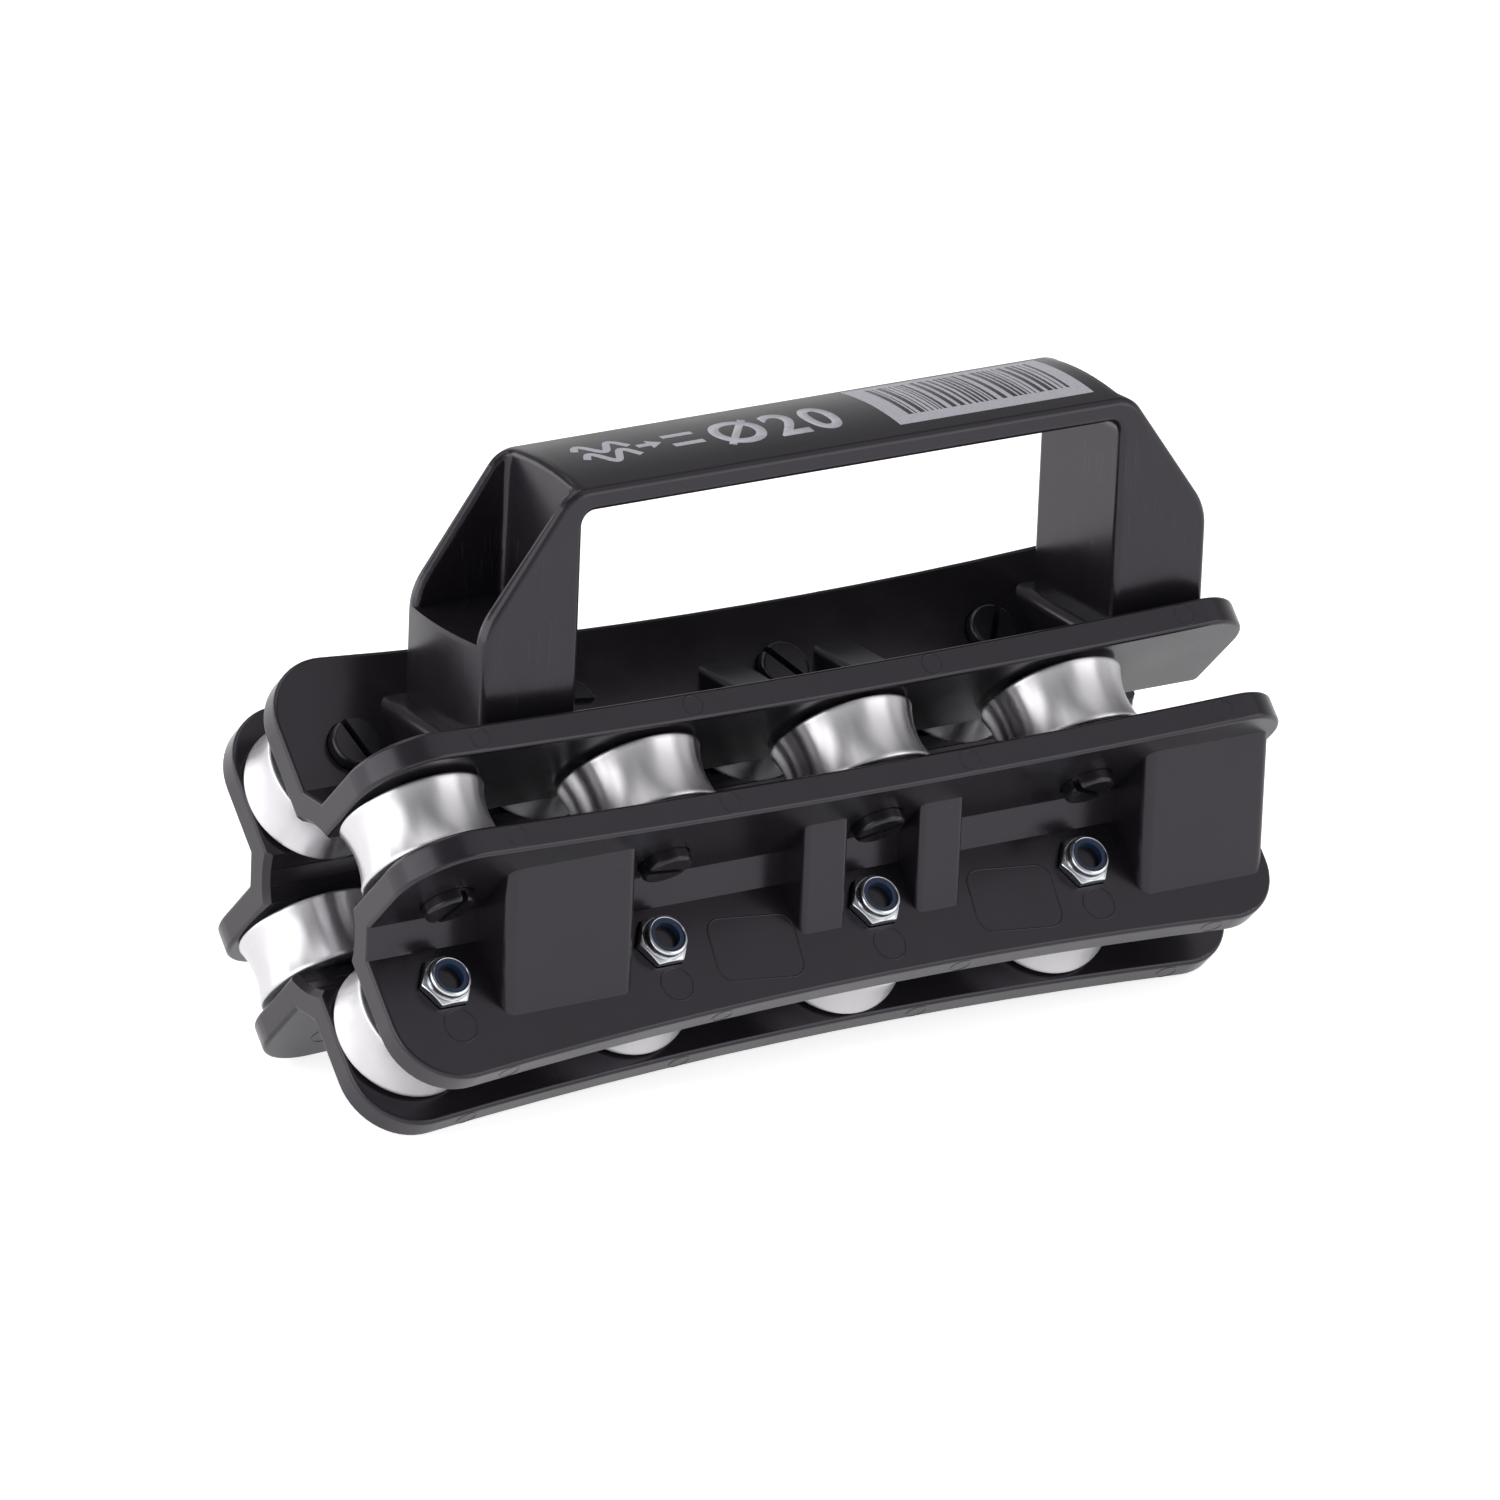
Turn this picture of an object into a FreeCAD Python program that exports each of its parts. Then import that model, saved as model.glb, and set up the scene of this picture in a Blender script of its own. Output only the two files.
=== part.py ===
import FreeCAD, Part
import math
import os

# Hand straightener for 20 mm multilayer pipe, in millimetres.
#
# Four moulded V-shaped shells stand round the pipe, a quarter turn apart. Every shell is two flat
# plates at right angles, joined by a narrow web near the pipe. The plates of neighbouring shells
# face each other across a row of four grooved rollers, so there are four rows, on the diagonals.
# One screw per roller holds two plates together, with a sleeve between them as the roller's bearing.
#
# The object's frame: X along the pipe, Z up through the handle, the origin on the pipe's axis at
# half the shells' length. A row's own frame has the row along +Z and its screws along +Y, with the
# nut at the +Y end. ROW_TURNS turns it about X to its place on the object.

# ---- driving dimensions: pipe and rollers ----
tube_d = 20.0               # pipe that rolls between the rollers
roller_pitch = 40.0         # from one roller to the next along a row
roller_count = 4            # rollers in a row
roller_d = 24.0             # over the rims
roller_width = 10.9         # over the rims, along the axle
roller_end_play = 0.3       # roller's side to the boss beside it
groove_depth = 0.9          # rim to the throat of the concave tread
rim_land = 0.3              # narrow flat on each rim
rim_chamfer = 0.25          # broken edge between the rim and the side face
side_recess_depth = 0.4     # shallow turned recess in each side face
side_recess_wall = 2.2      # ring left between the recess and the rim
hub_wall = 1.6              # ring left between the bore and the recess

# ---- driving dimensions: shells ----
rim_overhang = 0.4          # first rollers' rims past the shells' left end
right_tail = 21.8           # last rollers' rims to the shells' right end
plate_thickness = 4.9
plate_margin = 0.4          # rollers' rims to the plate's edge, at its narrowest
plate_waist_x = 5.0         # roller 3 to the narrowest place, along X
plate_edge_radius = 960.0   # long hollow curve of the plate's edge
left_corner_radius = 11.0
right_corner_radius = 9.0
edge_round = 0.7            # soft edge round every plate
channel_clearance = 3.5     # pipe to the hollow side of the web
channel_lead_in = 1.0       # chamfer at the channel's ends
web_thickness = 5.0         # channel to the valley's flat floor
boss_margin = 2.0           # boss's rim past the sleeve's
boss_height = 0.45          # low round bosses that the sleeves stand on

# ---- driving dimensions: blocks and ribs in the valleys ----
block_height = 9.5          # valley floor to the block's flat face
block_gap = 8.1             # block's end to the roller axis beside it, on average
block_shift = 0.3           # block's middle past half-pitch
foot_block_shift = -0.7     # the same, under the handle's legs
block_round = 1.8
rib_height = 6.5            # valley floor to the rib's flat face
rib_width = 8.3
rib_offset = 10.9           # rib's middle from the middle of the pair
rib_shift = 0.3             # middle of the pair past roller 3
rib_round = 1.1

# ---- driving dimensions: handle ----
finger_room = 35.3          # block's face to the bar's underside
bar_thickness = 3.65        # at the bar's long edges
grip_width = 23.8
grip_crown = 1.2            # rise of the rounded outer side above its long edges
leg_length = 17.5           # each leg, along X
leg_inset = 1.3             # how much nearer the legs stand than the outer half-pitches
leg_shift = 0.3             # middle of the handle past roller 3
shoulder_drop = 21.05       # bar's long edges down to the corner under the shoulder
shoulder_run = 15.4         # shoulder's length along X
shoulder_foot_radius = 10.0
shoulder_top_radius = 5.5
grip_corner_radius = 2.3    # inside corners of the hand opening
grip_edge_round = 1.2
pocket_foot = 15.5          # block's face to the floor of the pocket in each leg
pocket_side_wall = 2.9      # at the floor
pocket_inner_wall = 1.8     # between the pocket and the hand opening, at the floor
pocket_draft = 2.0          # degrees by which the pocket opens upwards
pocket_corner_radius = 1.2
pocket_rim_round = 1.0

# ---- driving dimensions: screws, nuts and sleeves ----
screw_d = 5.0               # M5
screw_reach = 3.2           # how far the screw goes into its nut
screw_hole_clearance = 0.15 # radial, in the plates
head_d = 8.5
head_height = 3.3
head_round = 0.7
slot_width = 1.2
slot_depth = 1.7
head_sink = 1.2             # head stands this deep in its round seat
head_seat_clearance = 0.25
nut_across_flats = 8.0
nut_hex_height = 3.4
nut_height = 5.0
nut_ring_room = 0.45        # radial, screw to the seat of the locking ring
nut_collar_wall = 0.6       # collar round the ring's seat
nut_collar_round = 0.5
nut_chamfer = 0.45          # how far the cut corners fall back
nut_chamfer_angle = 30.0    # degrees from the nut's face
nut_sink = 1.75             # nut stands this deep in its six-sided seat
nut_seat_clearance = 0.15
lock_ring_grip = 0.3        # ring's bore inside the screw's size, radial
lock_ring_height = 1.4
lock_ring_drop = 0.35       # ring's face below the collar's lip
sleeve_wall = 0.9
sleeve_bore_clearance = 0.1 # radial, round the screw
sleeve_clearance = 0.05     # radial, roller bore round the sleeve

# ---- derived sizes ----
roller_radius = roller_d / 2
row_radius = tube_d / 2 + roller_radius - groove_depth
left_overhang = roller_radius - rim_overhang
right_overhang = roller_radius + right_tail
body_length = left_overhang + roller_pitch * (roller_count - 1) + right_overhang
left_end = -body_length / 2
right_end = body_length / 2
roller_x = [left_end + left_overhang + roller_pitch * i for i in range(roller_count)]
half_pitch_x = [roller_x[0] + roller_pitch / 2, roller_x[-1] + roller_pitch / 2]
rib_station = roller_x[2]
waist_x = rib_station + plate_waist_x

plate_inside = roller_width / 2 + roller_end_play + boss_height
plate_outside = plate_inside + plate_thickness
plate_reach_min = row_radius + roller_radius + plate_margin
valley_apex = plate_outside * math.sqrt(2)
channel_radius = tube_d / 2 + channel_clearance
web_floor = channel_radius + web_thickness
boss_face = plate_inside - boss_height
sleeve_length = 2 * boss_face

block_face = web_floor + block_height
block_length = roller_pitch - 2 * block_gap
rib_face = web_floor + rib_height

grip_underside = block_face + finger_room
grip_top = grip_underside + bar_thickness
leg_spacing = half_pitch_x[1] - half_pitch_x[0] - leg_inset
leg_x = [rib_station + leg_shift + side * leg_spacing / 2 for side in (-1, 1)]
shoulder_foot = grip_top - shoulder_drop
pocket_floor = block_face + pocket_foot
pocket_rise = grip_top + 2 * grip_crown - pocket_floor
pocket_widening = pocket_rise * math.tan(math.radians(pocket_draft))

head_seat = plate_outside - head_sink
nut_seat = plate_outside - nut_sink
screw_length = head_seat + nut_seat + screw_reach
screw_hole_radius = screw_d / 2 + screw_hole_clearance
nut_ring_radius = screw_d / 2 + nut_ring_room
nut_collar_radius = nut_ring_radius + nut_collar_wall
sleeve_bore_radius = screw_d / 2 + sleeve_bore_clearance
sleeve_radius = sleeve_bore_radius + sleeve_wall
boss_radius = sleeve_radius + boss_margin
roller_bore_radius = sleeve_radius + sleeve_clearance

embed = 1.5                 # how far a joined feature reaches into its neighbour
near = 0.001                # two places closer than this are the same place

SHELL_TURNS = {"handle_shell": 0, "front_shell": 90, "bottom_shell": 180, "back_shell": 270}
ROW_TURNS = {"front_top": 45, "front_bottom": 135, "back_bottom": 225, "back_top": 315}
# where each screw's slot stopped when it was tightened, in degrees from X
SLOT_ANGLES = {
    "front_top": (103, 11, 156, 35),
    "front_bottom": (64, 138, 20, 95),
    "back_bottom": (150, 41, 108, 77),
    "back_top": (72, 7, 52, 120),
}
X_AXIS = FreeCAD.Vector(1, 0, 0)
Y_AXIS = FreeCAD.Vector(0, 1, 0)
ORIGIN = FreeCAD.Vector(0, 0, 0)


def vec(x, y, z):
    return FreeCAD.Vector(x, y, z)


def turned(shape, degrees):
    """A copy of the shape, turned about the pipe's axis."""
    copy = shape.copy()
    copy.rotate(ORIGIN, X_AXIS, degrees)
    return copy


def save(shape, node):
    shape.exportStep(os.path.join("parts", node + ".step"))


def slab(edges, y_start, y_end):
    """A solid from a closed outline in the XZ plane, between two values of Y."""
    face = Part.Face(Part.Wire(Part.__sortEdges__(edges)))
    face.translate(vec(0, y_start, 0))
    return face.extrude(vec(0, y_end - y_start, 0))


def line(start, end):
    return Part.LineSegment(start, end).toShape()


def closed_lines(points):
    """The straight edges of a polygon."""
    return [line(points[i - 1], points[i]) for i in range(len(points))]


def box_about(x_middle, x_size, y_size, z_low, z_high):
    corner = vec(x_middle - x_size / 2, -y_size / 2, z_low)
    return Part.makeBox(x_size, y_size, z_high - z_low, corner)


def rod(radius, y_start, y_end, x, z):
    """A cylinder along +Y."""
    return Part.makeCylinder(radius, y_end - y_start, vec(x, y_start, z), Y_AXIS)


def hexagon(across_flats, y_start, y_end, x, z):
    """A six-sided prism along Y, with a flat towards +Z and one towards -Z."""
    reach = across_flats / math.sqrt(3)
    points = []
    for i in range(6):
        angle = math.radians(60 * i)
        points.append(vec(x + reach * math.cos(angle), 0, z + reach * math.sin(angle)))
    return slab(closed_lines(points), y_start, y_end)


# ---- plates ----

def corner_arc(end_x, inward, radius, centre):
    """The round corner between a plate's straight end and its long hollow edge.

    The corner's circle touches the end line from inside and the long edge's circle from outside.
    Returns the arc with its two ends.
    """
    middle_x = end_x + inward * radius
    reach = plate_edge_radius + radius
    middle_z = centre.z - math.sqrt(reach ** 2 - (middle_x - centre.x) ** 2)
    middle = vec(middle_x, 0, middle_z)
    on_end = vec(end_x, 0, middle_z)
    on_edge = middle + (centre - middle).normalize() * radius
    half_way = ((on_end - middle) + (on_edge - middle)).normalize()
    arc = Part.Arc(on_end, middle + half_way * radius, on_edge).toShape()
    return arc, on_end, on_edge


def plate_edges():
    """The outline of a plate in a row's frame: X along the pipe, Z outwards from its axis."""
    foot_z = math.sqrt(channel_radius ** 2 - plate_inside ** 2) - embed
    centre = vec(waist_x, 0, plate_reach_min + plate_edge_radius)
    left, left_low, left_high = corner_arc(left_end, 1, left_corner_radius, centre)
    right, right_low, right_high = corner_arc(right_end, -1, right_corner_radius, centre)
    waist = vec(waist_x, 0, plate_reach_min)
    left_foot = vec(left_end, 0, foot_z)
    right_foot = vec(right_end, 0, foot_z)
    return [
        line(left_foot, left_low),
        left,
        Part.Arc(left_high, waist, right_high).toShape(),
        right,
        line(right_low, right_foot),
        line(right_foot, left_foot),
    ]


def plate(side):
    """One plate of a shell in a row's frame, on the row's +Y (nut) or -Y (head) side."""
    return slab(plate_edges(), side * plate_inside, side * plate_outside)


def bosses(side):
    """The low round bosses that the sleeves stand on."""
    ends = [side * boss_face, side * (plate_inside + embed)]
    return [rod(boss_radius, min(ends), max(ends), x, row_radius) for x in roller_x]


def web():
    """The narrow web that joins a shell's plates, from their middle planes to the valley's floor."""
    low = (plate_inside + plate_outside) / 2 * math.sqrt(2)
    half = web_floor - low
    points = [vec(0, 0, low), vec(0, half, web_floor), vec(0, -half, web_floor)]
    face = Part.Face(Part.makePolygon(points + [points[0]]))
    face.translate(vec(left_end, 0, 0))
    return face.extrude(vec(body_length, 0, 0))


def channel():
    """What the pipe's channel takes out: a cylinder that opens into a cone at each end."""
    bore = Part.makeCylinder(channel_radius, body_length + 2, vec(left_end - 1, 0, 0), X_AXIS)
    wide = channel_radius + channel_lead_in
    to_left = vec(-1, 0, 0)
    left = Part.makeCone(channel_radius, wide, channel_lead_in,
                         vec(left_end + channel_lead_in, 0, 0), to_left)
    right = Part.makeCone(channel_radius, wide, channel_lead_in,
                          vec(right_end - channel_lead_in, 0, 0), X_AXIS)
    return [bore, left, right]


# ---- blocks and ribs ----

def valley_wedge(x_start, x_end):
    """The space between a shell's plates, reaching a little way into them."""
    low = valley_apex - embed * math.sqrt(2)
    high = plate_reach_min
    spread = high - low
    points = [vec(x_start, 0, low), vec(x_start, spread, high), vec(x_start, -spread, high)]
    face = Part.Face(Part.makePolygon(points + [points[0]]))
    return face.extrude(vec(x_end - x_start, 0, 0))


def valley_bar(x_middle, length, face_z, radius):
    """A bar across the valley with a flat outer face and two rounded outer edges."""
    half = length / 2
    low = web_floor - embed
    left = x_middle - half
    right = x_middle + half
    bend = radius * (1 - math.sqrt(0.5))
    outline = [
        line(vec(left, 0, low), vec(left, 0, face_z - radius)),
        Part.Arc(vec(left, 0, face_z - radius), vec(left + bend, 0, face_z - bend),
                 vec(left + radius, 0, face_z)).toShape(),
        line(vec(left + radius, 0, face_z), vec(right - radius, 0, face_z)),
        Part.Arc(vec(right - radius, 0, face_z), vec(right - bend, 0, face_z - bend),
                 vec(right, 0, face_z - radius)).toShape(),
        line(vec(right, 0, face_z - radius), vec(right, 0, low)),
        line(vec(right, 0, low), vec(left, 0, low)),
    ]
    bar = slab(outline, -face_z, face_z)
    return bar.common(valley_wedge(left - 1, right + 1))


def blocks(shift):
    return [valley_bar(x + shift, block_length, block_face, block_round) for x in half_pitch_x]


def ribs():
    middle = rib_station + rib_shift
    places = [middle - rib_offset, middle + rib_offset]
    return [valley_bar(x, rib_width, rib_face, rib_round) for x in places]


# ---- handle ----

def bend(before, corner, after, radius):
    """The arc that rounds a corner of an outline, with its first, middle and last points."""
    towards_before = (before - corner).normalize()
    towards_after = (after - corner).normalize()
    half_angle = towards_before.getAngle(towards_after) / 2
    reach = radius / math.tan(half_angle)
    middle_line = (towards_before + towards_after).normalize()
    centre = corner + middle_line * (radius / math.sin(half_angle))
    return corner + towards_before * reach, centre - middle_line * radius, corner + towards_after * reach


def outer_path():
    """The handle's outside from foot to foot, as edges in the XZ plane."""
    left = leg_x[0] - leg_length / 2
    right = leg_x[1] + leg_length / 2
    root = block_face - embed
    corners = [
        vec(left, 0, root),
        vec(left, 0, shoulder_foot),
        vec(left + shoulder_run, 0, grip_top),
        vec(right - shoulder_run, 0, grip_top),
        vec(right, 0, shoulder_foot),
        vec(right, 0, root),
    ]
    radii = [shoulder_foot_radius, shoulder_top_radius, shoulder_top_radius, shoulder_foot_radius]
    edges = []
    at = corners[0]
    for i, radius in enumerate(radii, start=1):
        start, middle, end = bend(corners[i - 1], corners[i], corners[i + 1], radius)
        edges.append(line(at, start))
        edges.append(Part.Arc(start, middle, end).toShape())
        at = end
    edges.append(line(at, corners[-1]))
    return edges


def hand_opening():
    """The inside outline, from the right leg's foot over the opening to the left leg's foot."""
    left = leg_x[0] + leg_length / 2
    right = leg_x[1] - leg_length / 2
    root = block_face - embed
    foot_right = vec(right, 0, root)
    top_right = vec(right, 0, grip_underside)
    top_left = vec(left, 0, grip_underside)
    foot_left = vec(left, 0, root)
    right_bend = bend(foot_right, top_right, top_left, grip_corner_radius)
    left_bend = bend(top_right, top_left, foot_left, grip_corner_radius)
    return [
        line(foot_right, right_bend[0]),
        Part.Arc(*right_bend).toShape(),
        line(right_bend[2], left_bend[0]),
        Part.Arc(*left_bend).toShape(),
        line(left_bend[2], foot_left),
    ]


def crown(path):
    """The rounded skin on the handle's outside: a low arc carried along the outer path."""
    start = path[0].firstVertex().Point
    half = grip_width / 2
    depth = 1.0
    low_left = start + vec(depth, -half, 0)
    left = start + vec(0, -half, 0)
    middle = start + vec(-grip_crown, 0, 0)
    right = start + vec(0, half, 0)
    low_right = start + vec(depth, half, 0)
    section = Part.Wire([
        line(low_left, left),
        Part.Arc(left, middle, right).toShape(),
        line(right, low_right),
        line(low_right, low_left),
    ])
    return Part.Wire(path).makePipeShell([section], True, False)


def middle_of(edge):
    return edge.valueAt((edge.FirstParameter + edge.LastParameter) / 2)


def handle_body():
    """The bar and both legs, rounded on the outside, with soft edges."""
    path = outer_path()
    root = block_face - embed
    opening = hand_opening()
    left_foot = [line(opening[-1].lastVertex().Point, path[0].firstVertex().Point)]
    right_foot = [line(path[-1].lastVertex().Point, opening[0].firstVertex().Point)]
    body = slab(path + right_foot + opening + left_foot, -grip_width / 2, grip_width / 2)
    body = body.fuse(crown(path)).removeSplitter()
    soft = []
    for edge in body.Edges:
        middle = middle_of(edge)
        at_side = abs(abs(middle.y) - grip_width / 2) < near
        if at_side and middle.z > root + near:
            soft.append(edge)
    return body.makeFillet(grip_edge_round, soft)


def leg_pocket(outside, inside):
    """The space to take out of a leg, open beyond its outer face and wider towards the top."""
    towards = 1 if inside > outside else -1
    levels = []
    for z, grow in ((pocket_floor, 0), (pocket_floor + pocket_rise, pocket_widening)):
        half = grip_width / 2 - pocket_side_wall + grow
        end = inside + towards * grow
        corners = [vec(outside, -half, z), vec(end, -half, z), vec(end, half, z), vec(outside, half, z)]
        levels.append(Part.makePolygon(corners + [corners[0]]))
    block = Part.makeLoft(levels, True, True)
    uprights = []
    for edge in block.Edges:
        at_inside = abs(middle_of(edge).x - inside) < pocket_widening + near
        if at_inside and edge.BoundBox.ZLength > pocket_rise / 2:
            uprights.append(edge)
    return block.makeFillet(pocket_corner_radius, uprights)


def handle():
    body = handle_body()
    reach = leg_length / 2
    inner = reach - pocket_inner_wall
    outer = reach + 2 * grip_crown
    left = leg_pocket(leg_x[0] - outer, leg_x[0] + inner)
    right = leg_pocket(leg_x[1] + outer, leg_x[1] - inner)
    body = body.cut([left, right])
    widest = grip_width / 2 - pocket_side_wall + pocket_widening + near
    innermost = inner + pocket_widening + near
    rim = []
    for edge in body.Edges:
        box = edge.BoundBox
        in_width = max(-box.YMin, box.YMax) < widest
        in_leg = box.XMax < leg_x[0] + innermost or box.XMin > leg_x[1] - innermost
        at_floor = box.ZMin < pocket_floor + near and box.ZLength > grip_underside - pocket_floor
        if in_width and in_leg and middle_of(edge).z > pocket_floor + 0.5 and not at_floor:
            rim.append(edge)
    return body.makeFillet(pocket_rim_round, rim)


# ---- shells ----

def soft_vee():
    """Two plates and their web, with the pipe's channel cut and every outer edge softened."""
    nut_plate = turned(plate(1), ROW_TURNS["front_top"])
    head_plate = turned(plate(-1), ROW_TURNS["back_top"])
    vee = nut_plate.fuse([head_plate, web()]).removeSplitter()
    vee = vee.cut(channel()).removeSplitter()
    soft = []
    for edge in vee.Edges:
        middle = middle_of(edge)
        from_axis = math.hypot(middle.y, middle.z)
        at_end = edge.BoundBox.XLength < near
        if from_axis > channel_radius + channel_lead_in + 0.01 and (at_end or from_axis > plate_reach_min):
            soft.append(edge)
    return vee.makeFillet(edge_round, soft)


def shell_blank(shift):
    """A shell before its screw holes: the vee with its bosses, blocks and ribs."""
    extras = [turned(boss, ROW_TURNS["front_top"]) for boss in bosses(1)]
    extras += [turned(boss, ROW_TURNS["back_top"]) for boss in bosses(-1)]
    return soft_vee().fuse(extras + blocks(shift) + ribs())


def screw_seats():
    """What the screws, heads and nuts of both neighbouring rows take out of a shell."""
    nut_row = []
    head_row = []
    beyond = plate_outside + nut_height
    flats = nut_across_flats + 2 * nut_seat_clearance
    head_radius = head_d / 2 + head_seat_clearance
    for x in roller_x:
        nut_row.append(rod(screw_hole_radius, boss_face - 1, beyond, x, row_radius))
        nut_row.append(hexagon(flats, nut_seat, beyond, x, row_radius))
        head_row.append(rod(screw_hole_radius, -beyond, 1 - boss_face, x, row_radius))
        head_row.append(rod(head_radius, -beyond, -head_seat, x, row_radius))
    tools = [turned(tool, ROW_TURNS["front_top"]) for tool in nut_row]
    tools += [turned(tool, ROW_TURNS["back_top"]) for tool in head_row]
    return tools


def make_shells():
    tools = screw_seats()
    plain = shell_blank(block_shift).cut(tools).removeSplitter()
    with_handle = shell_blank(foot_block_shift).fuse(handle()).cut(tools).removeSplitter()
    for node, degrees in SHELL_TURNS.items():
        shape = with_handle if node == "handle_shell" else plain
        save(turned(shape, degrees), node)


# ---- rollers ----

def roller(x):
    """A turned roller with a hollow tread, in a row's frame."""
    half = roller_width / 2
    floor = half - side_recess_depth
    recess_inner = roller_bore_radius + hub_wall
    recess_outer = roller_radius - side_recess_wall
    land = half - rim_chamfer - rim_land
    side = [
        vec(0, half, roller_bore_radius),
        vec(0, half, recess_inner),
        vec(0, floor, recess_inner),
        vec(0, floor, recess_outer),
        vec(0, half, recess_outer),
        vec(0, half, roller_radius - rim_chamfer),
        vec(0, half - rim_chamfer, roller_radius),
        vec(0, land, roller_radius),
    ]
    other_side = [vec(0, -point.y, point.z) for point in side]
    throat = vec(0, 0, roller_radius - groove_depth)
    edges = [line(*ends) for ends in zip(side, side[1:])]
    edges += [line(*ends) for ends in zip(other_side, other_side[1:])]
    edges.append(line(side[0], other_side[0]))
    edges.append(Part.Arc(side[-1], throat, other_side[-1]).toShape())
    face = Part.Face(Part.Wire(Part.__sortEdges__(edges)))
    solid = face.revolve(ORIGIN, Y_AXIS, 360)
    solid.translate(vec(x, 0, row_radius))
    return solid


def make_rollers():
    for row, degrees in ROW_TURNS.items():
        for number, x in enumerate(roller_x, start=1):
            save(turned(roller(x), degrees), "roller_%s_%d" % (row, number))


# ---- screws, nuts, locking rings and sleeves ----

def screw(x, slot_angle):
    """A slotted cheese-head screw with its head at the -Y end."""
    under_head = -head_seat
    shank = rod(screw_d / 2, under_head, under_head + screw_length, x, row_radius)
    head = rod(head_d / 2, under_head - head_height, under_head, x, row_radius)
    rim = [edge for edge in head.Edges if edge.BoundBox.YMax < under_head - head_height + near]
    head = head.makeFillet(head_round, rim)
    slot = box_about(x, head_d + 2, 2 * slot_depth, -slot_width / 2, slot_width / 2)
    slot.translate(vec(0, under_head - head_height, row_radius))
    slot.rotate(vec(x, 0, row_radius), Y_AXIS, slot_angle)
    return head.cut(slot).fuse(shank)


def nut(x):
    """A locking nut: a chamfered hexagon with a round collar rolled over the ring."""
    top = nut_seat + nut_height
    body = hexagon(nut_across_flats, nut_seat, nut_seat + nut_hex_height, x, row_radius)
    corner = nut_across_flats / math.sqrt(3)
    slope = math.tan(math.radians(nut_chamfer_angle))
    base = corner + (nut_hex_height - nut_chamfer) / slope
    cone = Part.makeCone(base, 0, base * slope, vec(x, nut_seat, row_radius), Y_AXIS)
    body = body.common(cone)
    collar = rod(nut_collar_radius, nut_seat + nut_hex_height / 2, top, x, row_radius)
    lip = [edge for edge in collar.Edges if edge.BoundBox.YMin > top - near]
    collar = collar.makeFillet(nut_collar_round, lip)
    body = body.fuse(collar)
    ring_seat = rod(nut_ring_radius, top - lock_ring_drop - lock_ring_height, top + 1, x, row_radius)
    bore = rod(screw_d / 2, nut_seat - 1, top + 1, x, row_radius)
    return body.cut([ring_seat, bore])


def lock_ring(x):
    """The plastic ring that the nut's collar holds."""
    high = nut_seat + nut_height - lock_ring_drop
    low = high - lock_ring_height
    ring = rod(nut_ring_radius, low, high, x, row_radius)
    return ring.cut(rod(screw_d / 2 - lock_ring_grip, low - 1, high + 1, x, row_radius))


def sleeve(x):
    """The steel sleeve that spaces the plates and carries the roller."""
    tube = rod(sleeve_radius, -sleeve_length / 2, sleeve_length / 2, x, row_radius)
    return tube.cut(rod(sleeve_bore_radius, -sleeve_length, sleeve_length, x, row_radius))


def make_fasteners():
    for row, degrees in ROW_TURNS.items():
        angles = SLOT_ANGLES[row]
        screws = [screw(x, angles[i % len(angles)]) for i, x in enumerate(roller_x)]
        groups = {
            "screws_": screws,
            "nuts_": [nut(x) for x in roller_x],
            "lock_rings_": [lock_ring(x) for x in roller_x],
            "sleeves_": [sleeve(x) for x in roller_x],
        }
        for name, solids in groups.items():
            save(turned(Part.makeCompound(solids), degrees), name + row)


os.makedirs("parts", exist_ok=True)
make_shells()
make_rollers()
make_fasteners()
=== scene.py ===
import math

import bmesh
import bpy
import numpy as np
from mathutils import Matrix, Vector


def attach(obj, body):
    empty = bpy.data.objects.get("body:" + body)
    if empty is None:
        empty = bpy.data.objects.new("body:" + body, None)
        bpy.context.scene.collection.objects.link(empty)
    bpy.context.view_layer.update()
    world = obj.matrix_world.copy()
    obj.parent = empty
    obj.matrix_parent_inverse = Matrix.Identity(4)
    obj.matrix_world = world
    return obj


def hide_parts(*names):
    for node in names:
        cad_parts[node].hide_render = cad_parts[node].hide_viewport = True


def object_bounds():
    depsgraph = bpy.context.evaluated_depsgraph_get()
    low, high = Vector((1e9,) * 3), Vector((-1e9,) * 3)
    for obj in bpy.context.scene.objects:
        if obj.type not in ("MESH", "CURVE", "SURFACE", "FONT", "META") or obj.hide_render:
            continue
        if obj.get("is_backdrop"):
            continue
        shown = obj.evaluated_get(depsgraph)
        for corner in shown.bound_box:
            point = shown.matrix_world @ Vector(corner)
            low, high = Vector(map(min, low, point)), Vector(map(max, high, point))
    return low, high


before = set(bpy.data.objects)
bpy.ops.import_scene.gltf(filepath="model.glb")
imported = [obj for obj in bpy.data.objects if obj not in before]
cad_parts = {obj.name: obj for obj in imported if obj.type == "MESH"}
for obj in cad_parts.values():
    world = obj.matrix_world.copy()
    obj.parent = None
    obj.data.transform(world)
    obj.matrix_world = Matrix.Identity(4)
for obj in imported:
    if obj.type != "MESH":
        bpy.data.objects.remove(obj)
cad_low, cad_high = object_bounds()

# ---- Camera ----
# A long lens about two and a half metres away, a little above the tool and to the left of its
# front, and rolled by two degrees, so the tool climbs slightly towards the right.

scene = bpy.context.scene
MM = 0.001                              # the frame is in metres
AZIMUTH = math.radians(32.874)          # how far left of the front it stands
ELEVATION = math.radians(20.468)
ROLL = math.radians(2.392)
DISTANCE = 2.362
AIM = Vector((-0.97, 0.0, 12.95)) * MM  # the point in the middle of the view
SENSOR_WIDTH = 36.0
FOCAL_LENGTH = 353.6

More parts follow.
